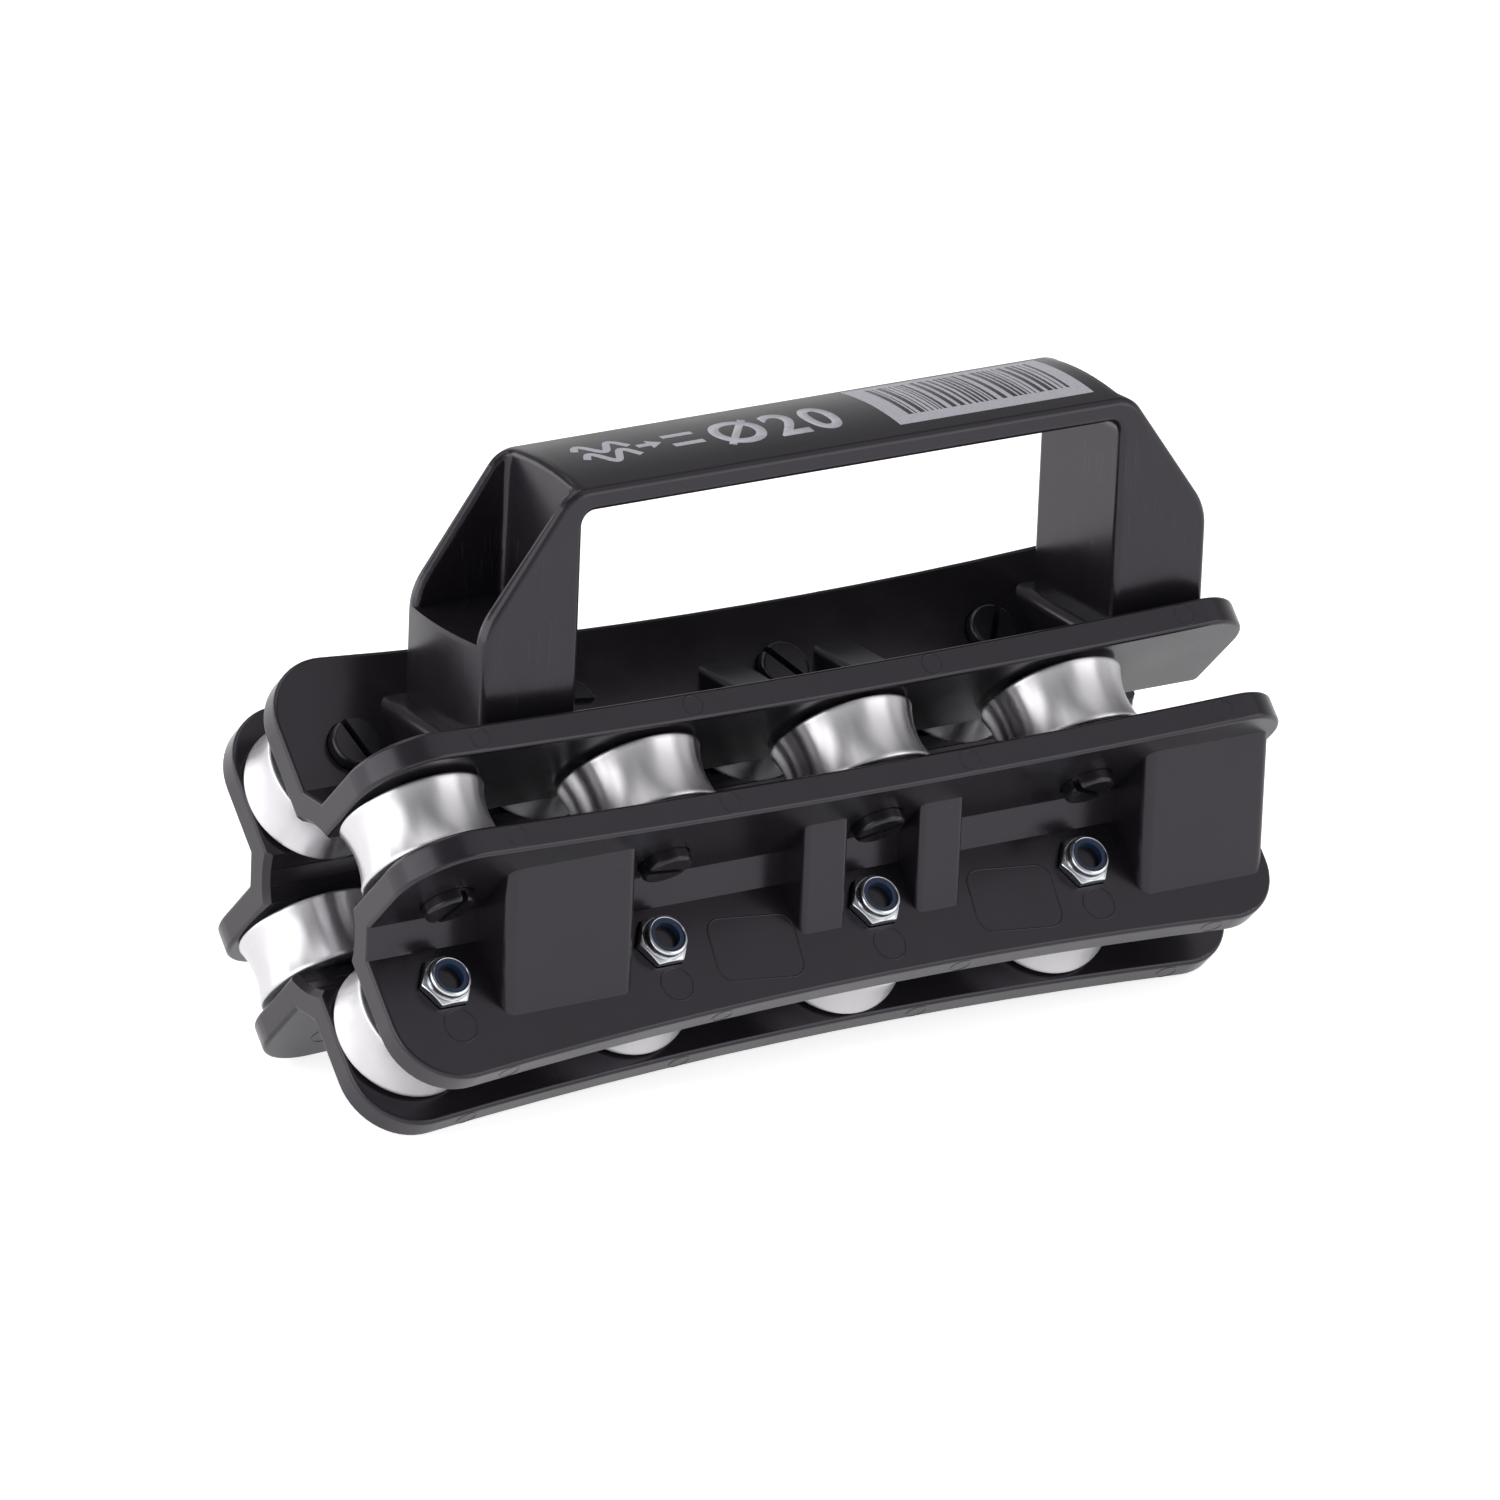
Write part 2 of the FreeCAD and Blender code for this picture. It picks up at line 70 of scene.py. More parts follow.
ahead = Vector((
    math.sin(AZIMUTH) * math.cos(ELEVATION),
    math.cos(AZIMUTH) * math.cos(ELEVATION),
    -math.sin(ELEVATION),
))
level_right = Vector((math.cos(AZIMUTH), -math.sin(AZIMUTH), 0))
level_up = level_right.cross(ahead)
camera_right = math.cos(ROLL) * level_right + math.sin(ROLL) * level_up
camera_up = camera_right.cross(ahead)

camera = bpy.data.objects.new("camera", bpy.data.cameras.new("camera"))
scene.collection.objects.link(camera)
camera.data.sensor_width = SENSOR_WIDTH
camera.data.lens = FOCAL_LENGTH
turn = Matrix((camera_right, camera_up, -ahead)).transposed()
camera.matrix_world = Matrix.Translation(AIM - DISTANCE * ahead) @ turn.to_4x4()
scene.camera = camera


# ---- Moulded shells ----
# The four V-shaped shells, one with the handle, are injection moulded in a black glass-filled
# nylon. The surface is smooth and half glossy, and a little cloudy where the fibres come near
# it. The handle's legs show fine drag marks from sliding out of the mould.

def new_material(name):
    """A node material, with its node tree and Principled BSDF."""
    material = bpy.data.materials.new(name)
    material.use_nodes = True
    return material, material.node_tree, material.node_tree.nodes["Principled BSDF"]


def node(tree, kind, inputs=(), **settings):
    """Adds a node. Each input is a value or another node's output, and None keeps the default."""
    made = tree.nodes.new(kind)
    for key, value in settings.items():
        setattr(made, key, value)
    for socket, value in zip(made.inputs, inputs):
        if isinstance(value, bpy.types.NodeSocket):
            tree.links.new(value, socket)
        elif value is not None:
            socket.default_value = value
    return made


def maths(tree, operation, *inputs):
    return node(tree, "ShaderNodeMath", inputs, operation=operation).outputs[0]


def stretch(tree, vector, x, y, z):
    return node(tree, "ShaderNodeVectorMath", (vector, (x, y, z)), operation="MULTIPLY").outputs[0]


def noise(tree, vector, scale, detail=2.0, rough=0.5):
    made = node(tree, "ShaderNodeTexNoise", (vector, None, scale, detail, rough))
    return made.outputs["Fac"]


def remap(tree, value, low, high, new_low, new_high):
    """Maps low to high onto new_low to new_high, and holds the ends."""
    return node(tree, "ShaderNodeMapRange", (value, low, high, new_low, new_high)).outputs[0]


def tint(tree, factor, dark, light):
    """A colour between dark and light."""
    made = node(tree, "ShaderNodeMix", data_type="RGBA")
    tree.links.new(factor, made.inputs["Factor"])
    for socket, colour in zip(made.inputs[6:8], (dark, light)):
        if isinstance(colour, bpy.types.NodeSocket):
            tree.links.new(colour, socket)
        else:
            socket.default_value = colour
    return made.outputs[2]


def position_mm(tree):
    """Object coordinates in millimetres."""
    return stretch(tree, tree.nodes.new("ShaderNodeTexCoord").outputs["Object"], 1000, 1000, 1000)


def use(tree, group, surface, **values):
    """Adds a group and joins its outputs to the surface's sockets of the same names."""
    made = node(tree, "ShaderNodeGroup")
    made.node_tree = group
    for title, value in values.items():
        socket = made.inputs[title.replace("_", " ")]
        if isinstance(value, bpy.types.NodeSocket):
            tree.links.new(value, socket)
        else:
            socket.default_value = value
    for socket in made.outputs:
        tree.links.new(socket, surface.inputs[socket.name])


def new_group(name, inputs, outputs):
    """A node group whose inputs are (name, kind, default) and outputs (name, kind)."""
    group = bpy.data.node_groups.new(name, "ShaderNodeTree")
    for title, kind, value in inputs:
        socket = group.interface.new_socket(title, in_out="INPUT", socket_type="NodeSocket" + kind)
        if value is not None:
            socket.default_value = value
    for title, kind in outputs:
        group.interface.new_socket(title, in_out="OUTPUT", socket_type="NodeSocket" + kind)
    return group, group.nodes.new("NodeGroupInput").outputs, group.nodes.new("NodeGroupOutput").inputs


# The skin of anything moulded: a fine grain, and a gloss that changes in clouds.
skin, given, result = new_group(
    "moulded_skin",
    [("Position", "Vector", None), ("Grain size", "Float", 0.3), ("Grain depth", "Float", 0.004),
     ("Low gloss", "Float", 0.3), ("High gloss", "Float", 0.4), ("Relief", "Float", 0.0)],
    [("Roughness", "Float"), ("Normal", "Vector")],
)
grains = noise(skin, given["Position"], maths(skin, "DIVIDE", 1.0, given["Grain size"]), 3.0)
clouds = noise(skin, given["Position"], 0.07, 4.0, 0.6)
height = maths(skin, "MULTIPLY_ADD", grains, given["Grain depth"], given["Relief"])
bump = node(skin, "ShaderNodeBump")
bump.inputs["Distance"].default_value = MM
skin.links.new(height, bump.inputs["Height"])
gloss = remap(skin, clouds, 0.3, 0.7, given["High gloss"], given["Low gloss"])
skin.links.new(gloss, result["Roughness"])
skin.links.new(bump.outputs[0], result["Normal"])

PLASTIC_DARK = (0.0078, 0.0068, 0.0086, 1.0)
PLASTIC_LIGHT = (0.0130, 0.0115, 0.0142, 1.0)
PLASTIC_SCUFFED = (0.040, 0.037, 0.042, 1.0)
PLASTIC_SHEEN = (0.95, 0.88, 1.0, 1.0)  # a violet cast in the reflections
NYLON_IOR = 1.53
SCUFF_DEPTH = 0.004
LEGS_LOW, LEGS_HIGH = 30, 62            # heights between which the legs are scuffed
FADE = 6                                # how far the scuffs fade out at either end


def moulded_plastic(name, marks=None):
    """The shells' nylon. marks(tree, place) says how scuffed each point is, from 0 to 1."""
    material, tree, surface = new_material(name)
    place = position_mm(tree)
    colour = tint(tree, noise(tree, place, 0.12, 5.0, 0.6), PLASTIC_DARK, PLASTIC_LIGHT)
    relief = 0.0
    if marks is not None:
        scuffed = marks(tree, place)
        colour = tint(tree, scuffed, colour, PLASTIC_SCUFFED)
        relief = maths(tree, "MULTIPLY", scuffed, SCUFF_DEPTH)
    tree.links.new(colour, surface.inputs["Base Color"])
    use(tree, skin, surface, Position=place, Grain_size=0.4, Grain_depth=0.0016,
        Low_gloss=0.19, High_gloss=0.28, Relief=relief)
    surface.inputs["IOR"].default_value = NYLON_IOR
    surface.inputs["Specular Tint"].default_value = PLASTIC_SHEEN
    return material


def drag_marks(tree, place):
    """Sparse thin upright streaks, only on the legs."""
    streaks = noise(tree, stretch(tree, place, 2.6, 2.6, 0.06), 1.0, 3.0, 0.75)
    patches = noise(tree, place, 0.09, 2.0)
    thin = remap(tree, streaks, 0.56, 0.72, 0.0, 1.0)
    here = maths(tree, "MULTIPLY", thin, remap(tree, patches, 0.42, 0.62, 0.0, 1.0))
    z = node(tree, "ShaderNodeSeparateXYZ", (place,)).outputs["Z"]
    above = remap(tree, z, LEGS_LOW, LEGS_LOW + FADE, 0.0, 1.0)
    below = remap(tree, z, LEGS_HIGH - FADE, LEGS_HIGH, 1.0, 0.0)
    return maths(tree, "MULTIPLY", here, maths(tree, "MULTIPLY", above, below))


def finish_node(name, material):
    """Gives a CAD node one material."""
    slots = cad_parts[name].data.materials
    slots.clear()
    slots.append(material)


shell_plastic = moulded_plastic("moulded_plastic")
finish_node("handle_shell", moulded_plastic("handle_plastic", drag_marks))
for name in ("front_shell", "bottom_shell", "back_shell"):
    finish_node(name, shell_plastic)

# ---- Mould marks ----
# The mould leaves low raised outlines on the plates: a round one beyond each nut from an ejector
# pin, smaller ones along the plates' edges, and two rounded squares from inserts. They are part
# of the moulding.

ROW_TURNS = {"front_top": 45, "front_bottom": 135, "back_bottom": 225, "back_top": 315}
ROLLER_X = (-71.1, -31.1, 8.9, 48.9)
ROW_RADIUS = 21.1                       # from the tube's axis to a roller's axis
PLATE_FACE = 11.1                       # from a row's middle to its plates' outer faces
PLATE_MIDDLE = 8.65                     # the same, to the middle of a plate's edge
PLATE_REACH = 33.5                      # from the tube's axis to a plate's edge, at the waist
PLATE_WAIST = 13.9                      # the waist's place along X
EDGE_RADIUS = 960.0                     # the long edges are hollow arcs
BEAD_WIDTH = 0.3
BEAD_HEIGHT = 0.08
PIN_RADIUS = 2.8                        # ejector pins below the nuts
PIN_DROP = 7.4                          # from a roller's axis to the pin's
PIN_SHIFT = 0.2
EDGE_PIN_RADIUS = 1.75                  # smaller pins on the plates' edges
EDGE_PIN_X = (-64.2, -23.7, 21.6, 69.3)
INSERT_X = (-14.7, 34.4)                # two inserts in a plate, turned by a small angle
INSERT_Z = 24.9
INSERT_HALF = (7.8, 5.5)
INSERT_CORNER = 2.6
INSERT_TILT = 0.1
BODY = "straightener_body"


def in_row(points, row):
    """Turns row coordinates about X: a row stands along +Z, with its screws along +Y."""
    turn = math.radians(ROW_TURNS[row])
    x, y, z = points[..., 0], points[..., 1], points[..., 2]
    turned_y = y * math.cos(turn) - z * math.sin(turn)
    turned_z = y * math.sin(turn) + z * math.cos(turn)
    return np.stack((x, turned_y, turned_z), -1)


def grid_mesh(name, grids, uv=None):
    """A mesh of grids of points in millimetres, each closed both ways like a ring.

    Every point is joined to the next along its row and its column, and the last to the first.
    """
    grids = np.asarray(grids, float)
    count, rows, columns = grids.shape[:3]
    grid, row, column = np.meshgrid(*(np.arange(n) for n in grids.shape[:3]), indexing="ij")
    base = grid * rows * columns
    next_row, next_column = (row + 1) % rows, (column + 1) % columns
    quads = np.stack((
        base + row * columns + column,
        base + next_row * columns + column,
        base + next_row * columns + next_column,
        base + row * columns + next_column,
    ), -1).reshape(-1, 4)
    mesh = bpy.data.meshes.new(name)
    mesh.vertices.add(count * rows * columns)
    mesh.vertices.foreach_set("co", (grids * MM).ravel())
    mesh.loops.add(quads.size)
    mesh.loops.foreach_set("vertex_index", quads.ravel())
    mesh.polygons.add(len(quads))
    mesh.polygons.foreach_set("loop_start", np.arange(0, quads.size, 4))
    mesh.update(calc_edges=True)
    if uv is not None:
        along, around = uv              # distances at each row and column, ends included
        u = np.stack((around[column], around[column], around[column + 1], around[column + 1]), -1)
        v = np.stack((along[row], along[row + 1], along[row + 1], along[row]), -1)
        layer = mesh.uv_layers.new(name="turned")
        layer.data.foreach_set("uv", np.stack((u, v), -1).ravel().astype(np.float32))
    mesh.polygons.foreach_set("use_smooth", np.ones(len(quads), bool))
    return mesh


def add_piece(name, mesh, body, material):
    mesh.materials.append(material)
    piece = bpy.data.objects.new(name, mesh)
    scene.collection.objects.link(piece)
    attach(piece, body)
    return piece


def bead_round(half_x, half_z, corner):
    """A low round bead along a rounded rectangle in X and Z, with its height in Y.

    Each quarter of the path is a circle's arc about its corner's centre, and the bead's section
    is an ellipse.
    """
    angle = np.arange(64) * 2 * np.pi / 64 + np.pi / 64
    section = np.arange(8) * 2 * np.pi / 8
    reach = corner + BEAD_WIDTH / 2 * np.cos(section)[:, None]
    x = np.sign(np.cos(angle)) * (half_x - corner) + reach * np.cos(angle)
    z = np.sign(np.sin(angle)) * (half_z - corner) + reach * np.sin(angle)
    return x, z, BEAD_HEIGHT * np.sin(section)[:, None] + 0 * x


def on_face(middle_x, middle_z, half_x, half_z, corner, tilt):
    """A bead on a plate's outer face: the flat bead turned by a small angle, then moved."""
    x, z, height = bead_round(half_x, half_z, corner)
    cos_tilt, sin_tilt = math.cos(tilt), math.sin(tilt)
    return np.stack((
        middle_x + x * cos_tilt - z * sin_tilt,
        PLATE_FACE + height,
        middle_z + x * sin_tilt + z * cos_tilt,
    ), -1)


def on_edge(middle_x, side):
    """A round bead on a plate's long edge, which is a hollow circle's arc about a far centre."""
    x, across, height = bead_round(EDGE_PIN_RADIUS, EDGE_PIN_RADIUS, EDGE_PIN_RADIUS)
    x = middle_x + x
    edge = PLATE_REACH + EDGE_RADIUS - np.sqrt(EDGE_RADIUS ** 2 - (x - PLATE_WAIST) ** 2)
    return np.stack((x, side * PLATE_MIDDLE - across, edge + height), -1)


for row in ROW_TURNS:
    pin_z = ROW_RADIUS + PIN_DROP
    beads = [
        on_face(x + PIN_SHIFT, pin_z, PIN_RADIUS, PIN_RADIUS, PIN_RADIUS, 0) for x in ROLLER_X
    ]
    if row != "front_top":              # the handle's shell has no inserts
        beads += [on_face(x, INSERT_Z, *INSERT_HALF, INSERT_CORNER, INSERT_TILT) for x in INSERT_X]
    beads += [on_edge(x, side) for side in (-1, 1) for x in EDGE_PIN_X]
    mesh = grid_mesh("mould_marks_" + row, [in_row(bead, row) for bead in beads])
    add_piece("mould_marks_" + row, mesh, BODY, shell_plastic)

# ---- Rollers ----
# Sixteen rollers turned from aluminium bar, with a hollow tread that fits the tube. The tread
# is finely turned, so its reflections spread along the axle, and the rims are broken edges that
# stay bright. Each runs loose on a steel sleeve.

ROLLER_RADIUS = 12.0
ROLLER_HALF = 5.45                      # half its width, over the rim and over the hub
RECESS_HALF = 5.05                      # the same, over the recess between them
RIM_INNER = 9.8
HUB_RADIUS = 5.15
RECESS_MIDDLE = 7.5
BORE_RADIUS = 3.55
TREAD_HALF = 4.9
GROOVE_DEPTH = 0.9
ROLLER_STEPS = 144
UV_TURN = 72.0                          # the UV map's length once round the roller
ALUMINIUM_DARK = (0.70, 0.685, 0.71, 1.0)
ALUMINIUM_LIGHT = (0.80, 0.785, 0.81, 1.0)
RING_DEPTH = 0.002
CHATTER_DEPTH = 0.0016


def roller_profile():
    """The half section, as (along the axle, radius): tread, rim, recessed side, hub and bore.

    The tread is a circle's arc through both rims and the throat.
    """
    arc_radius = (TREAD_HALF ** 2 + GROOVE_DEPTH ** 2) / (2 * GROOVE_DEPTH)
    reach = math.asin(TREAD_HALF / arc_radius)
    swing = np.linspace(-reach, reach, 25)
    throat = ROLLER_RADIUS - GROOVE_DEPTH
    tread = np.stack((arc_radius * np.sin(swing), throat + arc_radius * (1 - np.cos(swing))), -1)
    side = np.array([
        (ROLLER_HALF - 0.39, ROLLER_RADIUS), (ROLLER_HALF - 0.25, ROLLER_RADIUS - 0.01),
        (ROLLER_HALF - 0.07, ROLLER_RADIUS - 0.14), (ROLLER_HALF, ROLLER_RADIUS - 0.3),
        (ROLLER_HALF, ROLLER_RADIUS - 0.5), (ROLLER_HALF, RIM_INNER + 0.2),
        (ROLLER_HALF - 0.01, RIM_INNER + 0.05), (ROLLER_HALF - 0.09, RIM_INNER),
        (RECESS_HALF + 0.05, RIM_INNER), (RECESS_HALF, RIM_INNER - 0.1),
        (RECESS_HALF, RECESS_MIDDLE),
        (RECESS_HALF, HUB_RADIUS + 0.1), (RECESS_HALF + 0.05, HUB_RADIUS),
        (ROLLER_HALF - 0.09, HUB_RADIUS), (ROLLER_HALF, HUB_RADIUS - 0.1),
        (ROLLER_HALF, BORE_RADIUS + 0.25), (ROLLER_HALF - 0.05, BORE_RADIUS + 0.05),
        (ROLLER_HALF - 0.2, BORE_RADIUS),
    ])
    bore = np.array([(0.0, BORE_RADIUS)])
    return np.concatenate((tread, side, bore, side[::-1] * (-1, 1)))


metal, tree, surface = new_material("turned_aluminium")
uv = node(tree, "ShaderNodeUVMap", uv_map="turned").outputs[0]
place = position_mm(tree)
rings = noise(tree, stretch(tree, uv, 0.0, 9.0, 1.0), 1.0, 4.0, 0.65)
parts = node(tree, "ShaderNodeSeparateXYZ", (uv,)).outputs
heading = maths(tree, "MULTIPLY", parts["X"], 2 * math.pi / UV_TURN)
round_about = node(tree, "ShaderNodeCombineXYZ", (
    maths(tree, "MULTIPLY", maths(tree, "COSINE", heading), ROLLER_RADIUS),
    maths(tree, "MULTIPLY", maths(tree, "SINE", heading), ROLLER_RADIUS),
    maths(tree, "MULTIPLY", parts["Y"], 0.1),
)).outputs[0]
chatter = noise(tree, round_about, 1.3, 4.0, 0.7)
smears = noise(tree, place, 0.25, 4.0, 0.6)
colour = tint(tree, smears, ALUMINIUM_DARK, ALUMINIUM_LIGHT)
tree.links.new(colour, surface.inputs["Base Color"])
surface.inputs["Metallic"].default_value = 1.0
dull = maths(tree, "MULTIPLY_ADD", rings, 0.12, remap(tree, chatter, 0.3, 0.7, 0.22, 0.31))
tree.links.new(dull, surface.inputs["Roughness"])
surface.inputs["Anisotropic"].default_value = 0.88
surface.inputs["Anisotropic Rotation"].default_value = 0.25
along_turning = node(tree, "ShaderNodeTangent", direction_type="UV_MAP", uv_map="turned")
tree.links.new(along_turning.outputs[0], surface.inputs["Tangent"])
bump = node(tree, "ShaderNodeBump")
bump.inputs["Distance"].default_value = MM
waves = maths(tree, "MULTIPLY", chatter, CHATTER_DEPTH)
tree.links.new(maths(tree, "MULTIPLY_ADD", rings, RING_DEPTH, waves), bump.inputs["Height"])
tree.links.new(bump.outputs[0], surface.inputs["Normal"])

profile = roller_profile()
steps = np.linalg.norm(np.roll(profile, -1, 0) - profile, axis=1)
along = np.concatenate(((0.0,), np.cumsum(steps)))
turns = np.arange(ROLLER_STEPS + 1) / ROLLER_STEPS
angle = turns[:-1] * 2 * np.pi
for row in ROW_TURNS:
    for number, x in enumerate(ROLLER_X, start=1):
        reach = profile[:, 1:]
        points = np.stack((
            x + reach * np.cos(angle),
            profile[:, :1] + 0 * angle,
            ROW_RADIUS + reach * np.sin(angle),
        ), -1)
        title = "%s_%d" % (row, number)
        mesh = grid_mesh("turned_roller_" + title, [in_row(points, row)], (along, turns * UV_TURN))
        mesh.set_sharp_from_angle(angle=math.radians(40))
        piece = add_piece("turned_roller_" + title, mesh, "%s_roller_%d" % (row, number), metal)
        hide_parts("roller_" + title)

# ---- Sleeves ----
# A drawn steel sleeve stands between the two plates on every screw and is the roller's bearing.
# It is a little dull, with darker patches where it has worn.

STEEL_DARK = (0.40, 0.39, 0.38, 1.0)
STEEL_LIGHT = (0.56, 0.56, 0.57, 1.0)

steel, tree, surface = new_material("drawn_steel")
place = position_mm(tree)
wear = noise(tree, place, 0.9, 4.0, 0.65)
colour = tint(tree, wear, STEEL_DARK, STEEL_LIGHT)
tree.links.new(colour, surface.inputs["Base Color"])
surface.inputs["Metallic"].default_value = 1.0
use(tree, skin, surface, Position=place, Grain_size=0.15, Grain_depth=0.003,
    Low_gloss=0.26, High_gloss=0.42)
for row in ROW_TURNS:
    finish_node("sleeves_" + row, steel)

# ---- Screws ----
# Slotted cheese-head steel screws with a black oxide finish, one through each roller. The oxide
# is slightly uneven and shines where the rim is rounded.

OXIDE_DARK = (0.0055, 0.005, 0.006, 1.0)
OXIDE_LIGHT = (0.0125, 0.0115, 0.0135, 1.0)

black, tree, surface = new_material("black_oxide")
place = position_mm(tree)
blotches = noise(tree, place, 0.8, 4.0, 0.6)
colour = tint(tree, blotches, OXIDE_DARK, OXIDE_LIGHT)
tree.links.new(colour, surface.inputs["Base Color"])
surface.inputs["Specular Tint"].default_value = PLASTIC_SHEEN
use(tree, skin, surface, Position=place, Grain_size=0.25, Grain_depth=0.006,
    Low_gloss=0.2, High_gloss=0.34)
for row in ROW_TURNS:
    finish_node("screws_" + row, black)

# ---- Nuts and locking rings ----
# Zinc-plated hexagon locking nuts, sunk into six-sided seats in the plates. Each has a round
# collar rolled in over a dark blue nylon ring.

NUT_FLATS = 8.0
NUT_SEAT = 9.35                         # from a row's middle to a nut's underside
NUT_HEX = 3.4                           # height of its hexagon
NUT_TOP = 5.0
COLLAR_RADIUS = 3.55
RING_SEAT_RADIUS = 2.95
SCREW_RADIUS = 2.5
CHAMFER_SLOPE = math.tan(math.radians(30))
CORNER_CUT = 0.78                       # how far the chamfer takes the corners in
UNDERSIDE_LIFT = 0.35                   # the chamfer below is shallower by this much
FLATS_POWER = 90                        # a higher power keeps the edges between faces sharper
CONES_POWER = 60.0
ZINC_DARK = (0.60, 0.62, 0.66, 1.0)
ZINC_LIGHT = (0.74, 0.76, 0.79, 1.0)
BLUE_DARK = (0.006, 0.018, 0.052, 1.0)
BLUE_LIGHT = (0.012, 0.032, 0.085, 1.0)


def nut_surface(x):
    """One nut, as rings up its outside and down its bore.

    The hexagon's radius in any direction is half its flats over a high-power mean of the six
    flats' cosines, which rounds the corners a little. A steep power mean with the chamfer's
    30 degree cones cuts the corners back in arcs.
    """
    angle = np.arange(120) * 2 * np.pi / 120
    flats = np.arange(6)[:, None] * np.pi / 3 + np.pi / 2
    facing = np.clip(np.cos(angle - flats), 0, None)
    hexagon = NUT_FLATS / 2 / (facing ** FLATS_POWER).sum(0) ** (1 / FLATS_POWER)
    up = np.concatenate((
        np.linspace(0, 0.5, 6),
        np.linspace(0.9, NUT_HEX - 0.9, 3),
        np.linspace(NUT_HEX - 0.75, NUT_HEX, 12),
    ))
    corner = NUT_FLATS / math.sqrt(3)
    nearest = np.minimum(NUT_HEX - up, up + UNDERSIDE_LIFT)
    cone = corner - CORNER_CUT + nearest / CHAMFER_SLOPE
    sides = (hexagon ** -CONES_POWER + cone[:, None] ** -CONES_POWER) ** (-1 / CONES_POWER)
    inside = np.array([
        (NUT_HEX, COLLAR_RADIUS + 0.12), (NUT_HEX + 0.08, COLLAR_RADIUS + 0.02),
        (NUT_HEX + 0.25, COLLAR_RADIUS),
        (NUT_TOP - 0.5, COLLAR_RADIUS), (NUT_TOP - 0.31, COLLAR_RADIUS - 0.04),
        (NUT_TOP - 0.15, COLLAR_RADIUS - 0.15), (NUT_TOP - 0.04, COLLAR_RADIUS - 0.31),
        (NUT_TOP, RING_SEAT_RADIUS + 0.1), (NUT_TOP - 0.06, RING_SEAT_RADIUS + 0.02),
        (NUT_TOP - 0.15, RING_SEAT_RADIUS), (NUT_TOP - 1.75, RING_SEAT_RADIUS),
        (NUT_TOP - 1.76, SCREW_RADIUS), (0.0, SCREW_RADIUS),
    ])
    height = np.concatenate((up, inside[:, 0]))[:, None]
    radius = np.concatenate((sides, inside[:, 1:] + 0 * angle))
    return np.stack((
        x + radius * np.cos(angle),
        NUT_SEAT + height + 0 * radius,
        ROW_RADIUS + radius * np.sin(angle),
    ), -1)


zinc, tree, surface = new_material("bright_zinc")
place = position_mm(tree)
bloom = noise(tree, place, 0.7, 4.0, 0.6)
tree.links.new(tint(tree, bloom, ZINC_DARK, ZINC_LIGHT), surface.inputs["Base Color"])
surface.inputs["Metallic"].default_value = 1.0
use(tree, skin, surface, Position=place, Grain_size=0.3, Grain_depth=0.006,
    Low_gloss=0.14, High_gloss=0.26)

nylon, tree, surface = new_material("blue_nylon")
place = position_mm(tree)
shade = noise(tree, place, 1.5, 3.0)
tree.links.new(tint(tree, shade, BLUE_DARK, BLUE_LIGHT), surface.inputs["Base Color"])
use(tree, skin, surface, Position=place, Grain_size=0.2, Grain_depth=0.01,
    Low_gloss=0.3, High_gloss=0.45)
for row in ROW_TURNS:
    finish_node("lock_rings_" + row, nylon)
    mesh = grid_mesh("plated_nuts_" + row, [in_row(nut_surface(x), row) for x in ROLLER_X])
    mesh.set_sharp_from_angle(angle=math.radians(32))
    piece = add_piece("plated_nuts_" + row, mesh, BODY, zinc)
    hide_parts("nuts_" + row)

# ---- Printing on the handle ----
# Pale grey ink, pad-printed on the crowned top of the bar: a field with a row of bars, the tube's
# size, and a sign of a bent tube coming out straight. The ink stands a few hundredths proud.

CROWN_RADIUS = 59.6
CROWN_CENTRE = 8.55                     # height of the crown's axis
FILM = 0.05                             # ink, from a little way inside the plastic outwards
FILM_MIDDLE = 0.01                      # its middle, above the crown
BEND_STEP = 0.9                         # width of the strips that it is cut into
INK_DARK = (0.47, 0.465, 0.52, 1.0)
INK_LIGHT = (0.56, 0.555, 0.62, 1.0)
FIELD_X, FIELD_Y = (19.8, 56.6), (-8.1, 9.9)
BARS_X, BARS_Y = (23.2, 54.0), (-5.2, 8.3)
BAR_COUNT = 53                          # bars and the gaps between them
MARK_X, MARK_Y = (-11.0, 12.0), (-5.6, 4.3)
LETTER_SIZE = 13.2
LETTER_WEIGHT = 0.28                    # how far the letters are thickened on each side
LETTER_SPACING = 1.12
TUBE_SIDES = (-2.0, 2.0)
WAVY_X = (-35.0, -25.6)
WAVE_HEIGHT = 1.9
WAVE_TURNS = 1.6
ARROW_X = (-24.6, -22.4, -20.1)         # the shaft's start, the head's start and the tip
ARROW_HALF = 1.7
ARROW_TIP = 0.02
STRAIGHT_X = (-18.9, -13.3)
LINE_HALF = 0.62                        # half the width of the sign's lines
RIBBON_POINTS = 41

ink, tree, surface = new_material("pale_ink")
place = position_mm(tree)
thin = noise(tree, place, 2.2, 5.0, 0.7)
colour = tint(tree, remap(tree, thin, 0.35, 0.6, 0.0, 1.0), INK_DARK, INK_LIGHT)
tree.links.new(colour, surface.inputs["Base Color"])
use(tree, skin, surface, Position=place, Grain_size=0.15, Grain_depth=0.006,
    Low_gloss=0.38, High_gloss=0.5)


